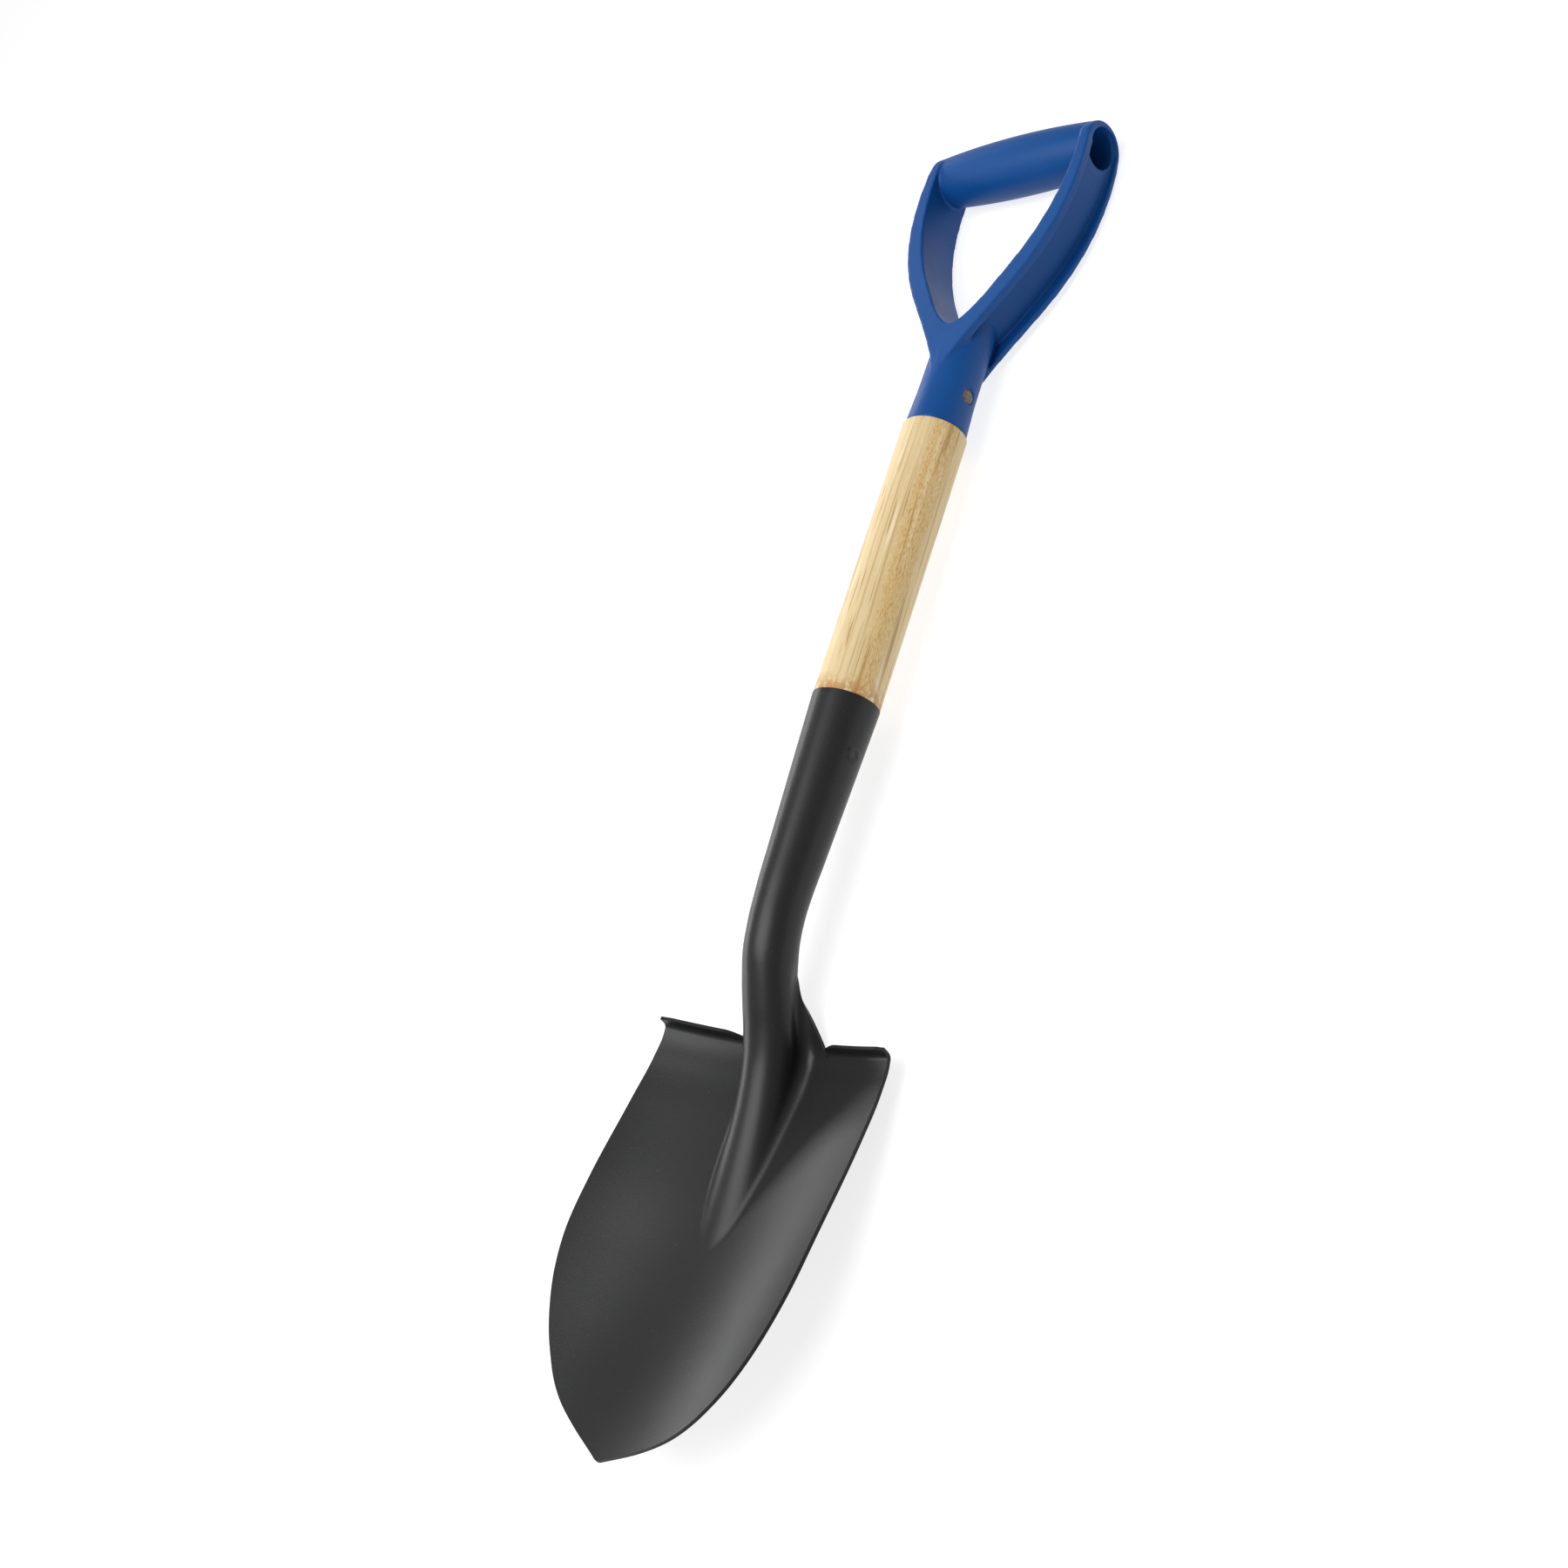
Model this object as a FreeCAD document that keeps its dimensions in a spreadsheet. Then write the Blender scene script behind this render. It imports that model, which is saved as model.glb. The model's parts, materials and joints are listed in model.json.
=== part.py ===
import FreeCAD, Part
import os
from math import asin, atan2, cos, degrees, radians, sin, sqrt
import Sketcher
from FreeCAD import Placement, Rotation, Vector

# Garden spade, millimetres. Every piece is drawn along the shaft: X runs from the blade's
# point (-X) to the grip (+X) with X = 0 where the shaft enters the grip, +Z is the working
# face and Y is across. settle() then lays the finished spade on its back on Z = 0.

DIMENSIONS = {
    # shaft
    "shaft_radius": 19.0, "shaft_visible": 172.0, "shaft_chamfer": 0.8,
    "tenon_radius": 14.0, "tenon_length": 50.0, "shaft_end": 282.0, "fit_gap": 0.05,
    # steel head
    "sheet": 2.0, "rim_radius": 19.3, "neck_radius": 14.9, "cone_length": 118.0,
    "seam_gap": 2.4, "blade_top": 359.0, "blade_tip": 581.0, "blade_half_width": 83.0,
    "point_radius": 5.0, "tread_inner": 30.0, "tread_outer": 81.0, "tread_rise": 6.8,
    "shoulder_length": 24.0, "shoulder_half_width": 17.4,
    # grip
    "grip_half_depth": 16.7, "flange": 4.4, "channel_shift": 1.2, "web": 3.8,
    "collar_radius": 18.1, "collar_top_radius": 16.6, "collar_height": 78.0, "bar_centre": 187.8,
    "bar_half_length": 58.6, "bar_mid_radius": 17.8, "bar_end_radius": 15.0,
    "bar_bore_radius": 12.0, "band_drop": 2.5, "band_corner": 1.6,
    # rivets
    "grip_rivet_at": 22.6, "grip_rivet_head": 4.6, "grip_rivet_seat": 15.3,
    "socket_rivet_at": 203.0, "socket_rivet_head": 5.2, "socket_rivet_seat": 17.3,
    "rivet_pin": 2.5, "rivet_head_height": 1.0,
}

doc = FreeCAD.newDocument("GardenSpade")
sheet = doc.addObject("Spreadsheet::Sheet", "Dims")
for row, (name, value) in enumerate(DIMENSIONS.items(), start=1):
    sheet.set(f"A{row}", name)
    sheet.set(f"B{row}", str(value))
    sheet.setAlias(f"B{row}", name)
doc.recompute()


class Dim:
    """A length that knows both its value and its expression in the sheet."""

    def __init__(self, value, text):
        self.value = value
        self.text = text

    def __add__(self, other):
        other = as_dim(other)
        return Dim(self.value + other.value, f"({self.text} + {other.text})")

    def __sub__(self, other):
        other = as_dim(other)
        return Dim(self.value - other.value, f"({self.text} - {other.text})")

    def __neg__(self):
        return Dim(-self.value, f"(-1 * {self.text})")

    def __mul__(self, factor):
        return Dim(self.value * factor, f"({self.text} * {factor})")


def as_dim(value):
    return value if isinstance(value, Dim) else Dim(float(value), f"({float(value)})")


def dim(name):
    return Dim(float(sheet.get(name)), f"Dims.{name}")


def size(name):
    return float(sheet.get(name))


# ---------------------------------------------------------------- sketch helpers

def origin_plane(body, role):
    return next(f for f in body.Origin.OriginFeatures if f.Role == role)


def new_body(name):
    body = doc.addObject("PartDesign::Body", name)
    body.Label = name
    return body


def new_sketch(body, name, role="XY_Plane"):
    sketch = body.newObject("Sketcher::SketchObject", name)
    sketch.AttachmentSupport = [(origin_plane(body, role), "")]
    sketch.MapMode = "FlatFace"
    return sketch


def draw_polygon(sketch, corners):
    """Closed outline of straight edges whose corners are held by sheet expressions."""
    corners = [(as_dim(x), as_dim(y)) for x, y in corners]
    first = sketch.GeometryCount
    count = len(corners)
    for i in range(count):
        (x0, y0), (x1, y1) = corners[i], corners[(i + 1) % count]
        start, end = Vector(x0.value, y0.value, 0), Vector(x1.value, y1.value, 0)
        sketch.addGeometry(Part.LineSegment(start, end), False)
    for i in range(count):
        following = first + (i + 1) % count
        sketch.addConstraint(Sketcher.Constraint("Coincident", first + i, 2, following, 1))
    for i, corner in enumerate(corners):
        for kind, length in zip(("DistanceX", "DistanceY"), corner):
            index = sketch.addConstraint(
                Sketcher.Constraint(kind, -1, 1, first + i, 1, length.value))
            label = f"corner{first + i}{kind[-1]}"
            sketch.renameConstraint(index, label)
            sketch.setExpression(f"Constraints.{label}", length.text)


def draw_circle(sketch, x, y, radius):
    x, y, radius = as_dim(x), as_dim(y), as_dim(radius)
    circle = Part.Circle(Vector(x.value, y.value, 0), Vector(0, 0, 1), radius.value)
    geometry = sketch.addGeometry(circle, False)
    held = (("DistanceX", (-1, 1, geometry, 3), x), ("DistanceY", (-1, 1, geometry, 3), y),
            ("Radius", (geometry,), radius))
    for kind, places, length in held:
        index = sketch.addConstraint(Sketcher.Constraint(kind, *places, length.value))
        label = f"circle{geometry}{kind}"
        sketch.renameConstraint(index, label)
        sketch.setExpression(f"Constraints.{label}", length.text)


def smooth_curve(points):
    curve = Part.BSplineCurve()
    curve.interpolate([Vector(x, y, 0) for x, y in points])
    return curve


def revolve(body, sketch, axis, name):
    feature = body.newObject("PartDesign::Revolution", name)
    feature.Profile = sketch
    feature.ReferenceAxis = axis
    feature.Angle = 360.0
    body.Tip = feature


def extrude(body, sketch, length, name, cut=False):
    """Pad or Pocket, equally to both sides of the sketch."""
    feature = body.newObject("PartDesign::Pocket" if cut else "PartDesign::Pad", name)
    feature.Profile = sketch
    feature.Type = 0
    feature.SideType = "Symmetric"
    feature.Length = length.value
    feature.setExpression("Length", length.text)
    body.Tip = feature


def cross_hole(body, name, x, radius, length):
    """Round hole right through along Y."""
    sketch = new_sketch(body, name + "Sketch", "XZ_Plane")
    draw_circle(sketch, x, 0, radius)
    extrude(body, sketch, length, name, cut=True)


# ---------------------------------------------------------------- shaft

def build_shaft():
    """Turned wooden bar: tenon in the grip, shoulder, and a taper that fills the socket."""
    body = new_body("shaft")
    outline = new_sketch(body, "ShaftProfile")
    wood = dim("shaft_radius")
    chamfer = dim("shaft_chamfer")
    inside_rim = dim("rim_radius") - dim("sheet") - dim("fit_gap")
    cone_slope = (size("rim_radius") - size("neck_radius")) / size("cone_length")
    taper = (dim("shaft_end") - dim("shaft_visible")) * cone_slope
    draw_polygon(outline, [
        (dim("tenon_length"), 0),
        (dim("tenon_length"), dim("tenon_radius") - 2),
        (dim("tenon_length") - 2, dim("tenon_radius")),
        (0, dim("tenon_radius")),
        (0, wood - chamfer),
        (-chamfer, wood),
        (-(dim("shaft_visible") - chamfer), wood),
        (-dim("shaft_visible"), wood - chamfer),
        (-dim("shaft_visible"), inside_rim),
        (-dim("shaft_end"), inside_rim - taper),
        (-dim("shaft_end"), 0),
    ])
    revolve(body, outline, (origin_plane(body, "X_Axis"), [""]), "ShaftTurned")
    pin = dim("rivet_pin")
    cross_hole(body, "GripRivetHole", dim("grip_rivet_at"), pin, dim("shaft_radius") * 3)
    cross_hole(body, "SocketRivetHole", -dim("socket_rivet_at"), pin, dim("shaft_radius") * 3)
    return body


# ---------------------------------------------------------------- rivets

def build_rivet(name, at, seat, head_radius):
    """Cross rivet along Y: a pin with a low domed head at each end."""
    body = new_body(name)
    outline = new_sketch(body, name + "_profile")
    height = dim("rivet_head_height")
    pin = dim("rivet_pin")
    draw_polygon(outline, [
        (at, -(seat + height)),
        (at + head_radius * 0.6, -(seat + height * 0.8)),
        (at + head_radius, -(seat + height * 0.2)),
        (at + head_radius, -seat),
        (at + pin, -seat),
        (at + pin, seat),
        (at + head_radius, seat),
        (at + head_radius, seat + height * 0.2),
        (at + head_radius * 0.6, seat + height * 0.8),
        (at, seat + height),
    ])
    axis = outline.addGeometry(
        Part.LineSegment(Vector(at.value, -30, 0), Vector(at.value, 30, 0)), True)
    outline.addConstraint(Sketcher.Constraint("Block", axis))
    revolve(body, outline, (outline, ["Axis0"]), name + "_turned")
    return body


# ---------------------------------------------------------------- grip

# Half widths of the D at distances from the collar's rim: outer edge and inner edge.
GRIP_OUTER = [(28, 0), (52, 12.8), (74, 27.2), (96, 41.5), (119, 52), (141, 57.6), (163, 59.6)]
GRIP_INNER = [(69, 8.5), (89, 23.7), (108, 35.2), (127, 43.6), (146, 49), (165, 51.6)]
INNER_FOOT = 64.5      # lowest point of the hand opening
ARM_INNER_TOP = 52.0   # half width of the opening where the arms meet the crossbar


def mirrored(points):
    return [(x, -y) for x, y in reversed(points)]


def inner_edge(offset):
    """Edge of the hand opening from one arm's top round to the other, moved outwards."""
    top = size("bar_centre") - size("band_drop")
    half = [(INNER_FOOT - 1.25 * offset, 0)]
    previous = (INNER_FOOT, 0)
    stations = GRIP_INNER + [(top, ARM_INNER_TOP)]
    for i, (x, y) in enumerate(stations):
        after = stations[min(i + 1, len(stations) - 1)]
        along = Vector(after[0] - previous[0], after[1] - previous[1], 0).normalize()
        half.append((x - offset * along.y, y + offset * along.x))
        previous = (x, y)
    half[-1] = (top, ARM_INNER_TOP + offset)
    return smooth_curve(mirrored(half) + half[1:])


def draw_curves(sketch, *curves):
    for curve in curves:
        sketch.addGeometry(curve, False)


def line(start, end):
    return Part.LineSegment(Vector(*start, 0), Vector(*end, 0))


def arc(start, middle, end):
    return Part.Arc(Vector(*start, 0), Vector(*middle, 0), Vector(*end, 0))


def draw_barrel(sketch):
    """Half section of the crossbar: a slightly swelling barrel."""
    half = size("bar_half_length") - 2
    thick, thin = size("bar_mid_radius"), size("bar_end_radius")
    draw_curves(
        sketch,
        line((0, -half), (thin, -half)),
        arc((thin, -half), (thick, 0), (thin, half)),
        line((thin, half), (0, half)),
        line((0, half), (0, -half)),
    )


def draw_bands(sketch):
    """Half sections of the two bands that carry the arms' flanges over the crossbar."""
    radius, corner = size("grip_half_depth"), size("band_corner")
    inner, outer = ARM_INNER_TOP, size("bar_half_length")
    shift = corner * (1 - sqrt(0.5))
    for side in (1, -1):
        draw_curves(
            sketch,
            line((0, side * inner), (radius, side * inner)),
            line((radius, side * inner), (radius, side * (outer - corner))),
            arc((radius, side * (outer - corner)), (radius - shift, side * (outer - shift)),
                (radius - corner, side * outer)),
            line((radius - corner, side * outer), (0, side * outer)),
            line((0, side * outer), (0, side * inner)),
        )


def side_recesses(body, name, start, depth, draw):
    """The same pocket sunk along Y into both sides, from the distance start outwards."""
    for label, side in (("Left", 1), ("Right", -1)):
        recess = new_sketch(body, f"{name}{label}Sketch", "XZ_Plane")
        middle = (start + depth * 0.5) * side
        recess.AttachmentOffset = Placement(Vector(0, 0, middle.value), Rotation())
        recess.setExpression("AttachmentOffset.Base.z", middle.text)
        draw(recess)
        extrude(body, recess, as_dim(depth), name + label, cut=True)


def draw_slot(sketch):
    """Round-topped slot that carries an arm's channel up over the end of the crossbar."""
    top = size("bar_centre") - size("band_drop") * 0.5
    half, shift = size("grip_half_depth") - size("flange"), size("channel_shift")
    front, back = half - shift, -half - shift
    foot = top - size("bar_mid_radius") - 5
    draw_curves(
        sketch,
        line((foot, back), (top, back)),
        arc((top, back), (top + half, -shift), (top, front)),
        line((top, front), (foot, front)),
        line((foot, front), (foot, back)),
    )


def build_grip():
    """Moulded D-grip: channel arms open outwards, collar, and a hollow barrel crossbar."""
    body = new_body("d_grip")
    top = size("bar_centre") - size("band_drop")
    reach = size("bar_half_length")
    outer_half = GRIP_OUTER + [(top, reach)]
    arms = new_sketch(body, "ArmsOutline")
    draw_curves(
        arms,
        smooth_curve(mirrored(outer_half)),
        smooth_curve(outer_half),
        line((top, reach), (top, ARM_INNER_TOP)),
        inner_edge(0),
        line((top, -ARM_INNER_TOP), (top, -reach)),
    )
    extrude(body, arms, dim("grip_half_depth") * 2, "Arms")

    channel = new_sketch(body, "ChannelOutline")
    shift = dim("channel_shift")
    channel.AttachmentOffset = Placement(Vector(0, 0, -shift.value), Rotation())
    channel.setExpression("AttachmentOffset.Base.z", (-shift).text)
    web_top = ARM_INNER_TOP + size("web")
    beyond = reach + 20
    draw_curves(
        channel,
        inner_edge(size("web")),
        line((top, web_top), (top, beyond)),
        line((top, beyond), (0, beyond)),
        line((0, beyond), (0, -beyond)),
        line((0, -beyond), (top, -beyond)),
        line((top, -beyond), (top, -web_top)),
    )
    channel_depth = (dim("grip_half_depth") - dim("flange")) * 2
    extrude(body, channel, channel_depth, "Channels", cut=True)

    collar = new_sketch(body, "CollarProfile")
    high = dim("collar_height")
    narrow = dim("collar_top_radius")
    draw_polygon(collar, [
        (0, 0),
        (0, dim("collar_radius") - 0.6),
        (0.6, dim("collar_radius")),
        (high * 0.3, narrow + 0.4),
        (high, narrow),
        (high, 0),
    ])
    revolve(body, collar, (origin_plane(body, "X_Axis"), [""]), "Collar")

    opening = new_sketch(body, "OpeningOutline")
    draw_curves(opening, inner_edge(0), line((top, ARM_INNER_TOP), (top, -ARM_INNER_TOP)))
    extrude(body, opening, dim("grip_half_depth") * 4, "HandOpening", cut=True)

    centre, drop = dim("bar_centre"), dim("band_drop")
    for name, place, draw in (("Crossbar", centre, draw_barrel),
                              ("EndBands", centre - drop, draw_bands)):
        profile = new_sketch(body, name + "Profile")
        profile.AttachmentOffset = Placement(Vector(place.value, 0, 0), Rotation())
        profile.setExpression("AttachmentOffset.Base.x", place.text)
        draw(profile)
        revolve(body, profile, (profile, ["V_Axis"]), name)

    cross_hole(body, "CrossbarBore", centre - drop * 0.5, dim("bar_bore_radius"),
               dim("bar_half_length") * 3)
    side_recesses(body, "EndRecess", as_dim(web_top), 20, draw_slot)

    tenon = new_sketch(body, "TenonSocket", "YZ_Plane")
    draw_circle(tenon, 0, 0, dim("tenon_radius") + dim("fit_gap"))
    extrude(body, tenon, (dim("tenon_length") + dim("fit_gap")) * 2, "TenonHole", cut=True)
    cross_hole(body, "RivetHole", dim("grip_rivet_at"), dim("rivet_pin"),
               dim("shaft_radius") * 3)
    seat_radius = dim("grip_rivet_head") + 0.1
    side_recesses(body, "RivetRecess", dim("grip_rivet_seat"), 10,
                  lambda sketch: draw_circle(sketch, dim("grip_rivet_at"), 0, seat_radius))
    return body


# ---------------------------------------------------------------- steel head

def through(stations):
    """Smooth function of x through a few (x, value) stations, x falling."""
    xs = [x for x, _ in stations]
    ys = [y for _, y in stations]
    slopes = [(ys[i + 1] - ys[i]) / (xs[i + 1] - xs[i]) for i in range(len(xs) - 1)]
    tangents = [slopes[0]] + [(a + b) / 2 for a, b in zip(slopes, slopes[1:])] + [slopes[-1]]

    def value(x):
        i = next((k for k in range(len(xs) - 2) if x >= xs[k + 1]), len(xs) - 2)
        step = xs[i + 1] - xs[i]
        t = (x - xs[i]) / step
        return ((2 * t**3 - 3 * t**2 + 1) * ys[i] + (t**3 - 2 * t**2 + t) * step * tangents[i]
                + (3 * t**2 - 2 * t**3) * ys[i + 1] + (t**3 - t**2) * step * tangents[i + 1])
    return value


# The pressed sheet in side view: the dish's lowest line, the top of the ridge, and the
# radii of the dish across the blade and of the ridge's rounded top.
dish_line = through([(-325, -18), (-345, -31), (-358, -39), (-375, -39.6), (-400, -36.6),
                     (-440, -31), (-480, -25.5), (-520, -17.4), (-560, -6.2), (-596, 6)])
ridge_line = through([(-325, 7.6), (-345, -3), (-357, -9.7), (-370, -15.5), (-385, -19.6),
                      (-400, -22.3), (-425, -24.7), (-455, -26.4), (-471, -26.9), (-596, 0)])
dish_radius = through([(-325, 240), (-360, 240), (-470, 164), (-596, 160)])
ridge_radius = through([(-325, 14.9), (-357, 14.9), (-385, 15.4), (-410, 17.4), (-440, 22),
                        (-470, 27), (-596, 27)])
fillet_radius = through([(-325, 7), (-357, 7), (-400, 6.5), (-440, 7), (-470, 9), (-596, 9)])
neck_centre = through([(-172, 0), (-262, 0), (-284, 0), (-303, -1.7), (-320, -6.2), (-335, -12.6),
                       (-345, -17.4), (-353, -21.7)])


def section_point(x, run):
    """Point on the front of the sheet at x, a given run along the section from its middle."""
    side = 1 if run >= 0 else -1
    run = abs(run)
    floor, dish = dish_line(x), dish_radius(x)
    top, round_top, fillet = ridge_line(x), ridge_radius(x), fillet_radius(x)
    dish_centre = floor + dish
    if top - floor < 0.02:
        angle = run / dish
        return Vector(x, side * dish * sin(angle), dish_centre - dish * cos(angle))
    centre = top - round_top
    apart = dish_centre - centre
    reach = round_top + fillet
    rise = (apart**2 + reach**2 - (dish - fillet)**2) / (2 * apart)
    rise = max(-reach, min(reach, rise))
    out = sqrt(reach**2 - rise**2)
    turn = atan2(out, rise)
    if run < turn * round_top:
        angle = run / round_top
        return Vector(x, side * round_top * sin(angle), centre + round_top * cos(angle))
    run -= turn * round_top
    landing = asin(out / (dish - fillet))
    if run < (turn + landing) * fillet:
        angle = turn - run / fillet
        return Vector(x, side * (out - fillet * sin(angle)), centre + rise - fillet * cos(angle))
    run -= (turn + landing) * fillet
    angle = landing + run / dish
    return Vector(x, side * dish * sin(angle), dish_centre - dish * cos(angle))


def sheet_normal(x, run):
    step = 0.05
    along = section_point(x + step, run) - section_point(x - step, run)
    across = section_point(x, run + step) - section_point(x, run - step)
    return along.cross(across).normalize()


def surface(points):
    patch = Part.BSplineSurface()
    patch.interpolate(points)
    return patch


def pressed_sheet():
    """The blade with its ridge before trimming: a dished slab of sheet thickness."""
    thickness = size("sheet")
    near = [2.6 * i for i in range(16)]
    far = [near[-1] + step for step in (6, 14, 24, 36, 48, 60, 74)]
    half = near + far
    runs = [-run for run in reversed(half[1:])] + half
    stations = [-330 - 5 * i for i in range(10)] + [-380 - 8 * i for i in range(13)]
    stations += [-484 - 12 * i for i in range(10)]
    front = [[section_point(x, run) for run in runs] for x in stations]
    back = [[section_point(x, run) - sheet_normal(x, run) * thickness for run in runs]
            for x in stations]
    front_face, back_face = surface(front).toShape(), surface(back).toShape()

    sides = [Part.makeRuledSurface(a, b) for a, b in zip(front_face.Edges, back_face.Edges)]
    shell = Part.makeShell([front_face, back_face] + sides)
    shell.sewShape()
    slab = Part.makeSolid(shell)
    if slab.Volume < 0:
        slab.reverse()
    return slab


def blade_outline():
    """Plan of the blade: nearly straight sides, a blunt point, and concave shoulders."""
    top, tip, wide = -size("blade_top"), -size("blade_tip"), size("blade_half_width")
    inner, outer = size("tread_inner"), size("tread_outer")
    radius = size("point_radius")
    neck, narrow = top + size("shoulder_length"), size("shoulder_half_width")
    nose = (tip + radius * 0.1, radius * 0.44)
    edge = [(top, outer), (-400, wide - 0.2), (-450, wide), (-482, wide - 2), (-512, wide - 10),
            (-538, wide - 23.5), (-560, wide - 42.8), (-571, wide - 60.3), nose]
    shoulder = [(top, inner), (top + 8, inner - 5), (top + 16, narrow + 3.2), (neck, narrow)]
    left, right = [smooth_curve(half) for half in (edge, mirrored(edge))]
    left_shoulder, right_shoulder = [smooth_curve(half) for half in (shoulder, mirrored(shoulder))]
    pieces = [left, arc(nose, (tip, 0), (nose[0], -nose[1])), right,
              line((top, -outer), (top, -inner)), right_shoulder,
              line((neck, -narrow), (neck, narrow)), left_shoulder,
              line((top, inner), (top, outer))]
    return Part.Wire(Part.__sortEdges__([piece.toShape() for piece in pieces]))


# Side view of a tread from the blade's top edge: the front of the sheet up to its free
# edge, then the back of it, one sheet thickness away.
TREAD_FRONT = [(-1.5, -0.4), (0, 0), (1.4, 0.6), (2.6, 2.2), (3.6, 6.8)]
TREAD_BACK = [(5.6, 6.4), (4.5, 1.4), (2.6, -1.3), (0, -2.0), (-1.5, -1.6)]


def foot_tread(side):
    """Top edge of the blade rolled forward along the dish, running out at its inner end."""
    top = -size("blade_top")
    inner, outer, rise = size("tread_inner"), size("tread_outer"), size("tread_rise")
    sections = []
    for across, crest in ((inner, 2.4), (inner + 9, rise), (inner + 22, rise),
                          (outer - 7, rise), (outer, rise - 1)):
        floor = dish_line(top) + dish_radius(top) - sqrt(dish_radius(top)**2 - across**2)
        corners = [Vector(top + x, side * across, floor + min(z, crest))
                   for x, z in TREAD_FRONT + TREAD_BACK]
        sections.append(Part.makePolygon(corners + corners[:1]))
    return Part.makeLoft(sections, True, True)


def ring(x, radius):
    centre = Vector(x, 0, neck_centre(x))
    return Part.Wire(Part.makeCircle(radius, centre, Vector(1, 0, 0)))


def tube(offset):
    """Cone of the socket and the swan neck below it, as one loft."""
    rim, slim = size("rim_radius"), size("neck_radius")
    start, length = -size("shaft_visible"), size("cone_length")
    rings = []
    for x in (start, -190, -210, -230, -250, -268, -285, -300, -315, -328, -341, -353):
        taper = min(1, (start - x) / length)
        rings.append(ring(x, rim + (slim - rim) * taper + offset))
    return Part.makeLoft(rings, True, False)


def build_head():
    """Stamped head: pressed blade, rolled treads, swan neck and conical socket."""
    outer = tube(0)
    inner = tube(-size("sheet"))
    slab = pressed_sheet()
    prism = Part.Face(blade_outline()).extrude(Vector(0, 0, 200))
    prism.translate(Vector(0, 0, -100))
    blade = slab.common(prism)
    gap, seam_end = size("seam_gap"), size("blade_top") + 6
    seam = Part.makeBox(200, gap, 46, Vector(-seam_end, -gap / 2, -60))
    shape = outer.cut([inner, seam]).fuse([blade, foot_tread(1), foot_tread(-1)])
    at, seat = -size("socket_rivet_at"), size("socket_rivet_seat")
    hole = Part.makeCylinder(size("rivet_pin"), 80, Vector(at, -40, 0), Vector(0, 1, 0))
    seats = [Part.makeCylinder(size("socket_rivet_head") + 0.1, 10, Vector(at, side * seat, 0),
                               Vector(0, side, 0)) for side in (1, -1)]
    shape = shape.cut([hole] + seats)
    feature = doc.addObject("Part::Feature", "blade_head")
    feature.Shape = shape
    return feature


# ---------------------------------------------------------------- assembly

def outline_points(shape):
    """Vertices of a fine mesh of the shape, as (x, z) pairs."""
    return [(point.x, point.z) for point in shape.tessellate(0.1)[0]]


def lowest(points, angle):
    return min(z * cos(angle) - x * sin(angle) for x, z in points)


def settle(head, grip):
    """Placement that lays the spade on the back of its blade and of its grip."""
    head_points, grip_points = outline_points(head.Shape), outline_points(grip.Shape)
    low, high = 0.0, radians(8)
    for _ in range(40):
        angle = (low + high) / 2
        if lowest(grip_points, angle) > lowest(head_points, angle):
            low = angle
        else:
            high = angle
    turned = [x * cos(angle) + z * sin(angle) for x, z in head_points + grip_points]
    middle = (min(turned) + max(turned)) / 2
    floor = lowest(head_points, angle)
    return Placement(Vector(-middle, 0, -floor), Rotation(Vector(0, 1, 0), degrees(angle)))


grip_rivet = build_rivet("grip_rivet", dim("grip_rivet_at"), dim("grip_rivet_seat"),
                         dim("grip_rivet_head"))
socket_rivet = build_rivet("socket_rivet", -dim("socket_rivet_at"), dim("socket_rivet_seat"),
                           dim("socket_rivet_head"))
shaft, grip, head = build_shaft(), build_grip(), build_head()
doc.recompute()
lying = settle(head, grip)
pieces = [head, shaft, grip, grip_rivet, socket_rivet]
for piece in pieces:
    piece.Placement = lying
doc.recompute()

for item in doc.Objects:
    if "Invalid" in item.State or "Error" in item.State:
        raise RuntimeError(f"{item.Name} failed: {item.State}")
os.makedirs("parts", exist_ok=True)
for piece in pieces:
    if piece.Shape.isNull() or not piece.Shape.isValid():
        raise RuntimeError(f"{piece.Label} has no valid shape")
    piece.Shape.exportStep(f"parts/{piece.Label}.step")
    print(piece.Label, len(piece.Shape.Solids), "solid", round(piece.Shape.Volume), "mm3")
print("placement", lying.Base, degrees(lying.Rotation.Angle))
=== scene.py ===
import json
from math import asin, atan2, cos, pi, radians, sin, sqrt
import bmesh
import bpy
from mathutils import Matrix, Vector


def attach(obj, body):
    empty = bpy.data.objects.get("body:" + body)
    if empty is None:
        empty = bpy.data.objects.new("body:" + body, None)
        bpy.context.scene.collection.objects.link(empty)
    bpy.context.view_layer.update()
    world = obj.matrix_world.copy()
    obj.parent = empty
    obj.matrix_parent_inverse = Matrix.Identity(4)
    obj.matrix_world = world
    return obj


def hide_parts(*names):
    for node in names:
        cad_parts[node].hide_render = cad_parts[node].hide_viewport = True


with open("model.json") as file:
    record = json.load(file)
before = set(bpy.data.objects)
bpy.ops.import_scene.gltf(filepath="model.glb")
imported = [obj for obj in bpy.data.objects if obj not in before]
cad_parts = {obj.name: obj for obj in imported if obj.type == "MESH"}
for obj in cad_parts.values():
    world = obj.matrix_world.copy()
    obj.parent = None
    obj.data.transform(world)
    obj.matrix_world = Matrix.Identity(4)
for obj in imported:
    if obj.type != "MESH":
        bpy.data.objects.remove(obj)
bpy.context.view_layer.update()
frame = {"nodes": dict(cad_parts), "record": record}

MM = 0.001

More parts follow.
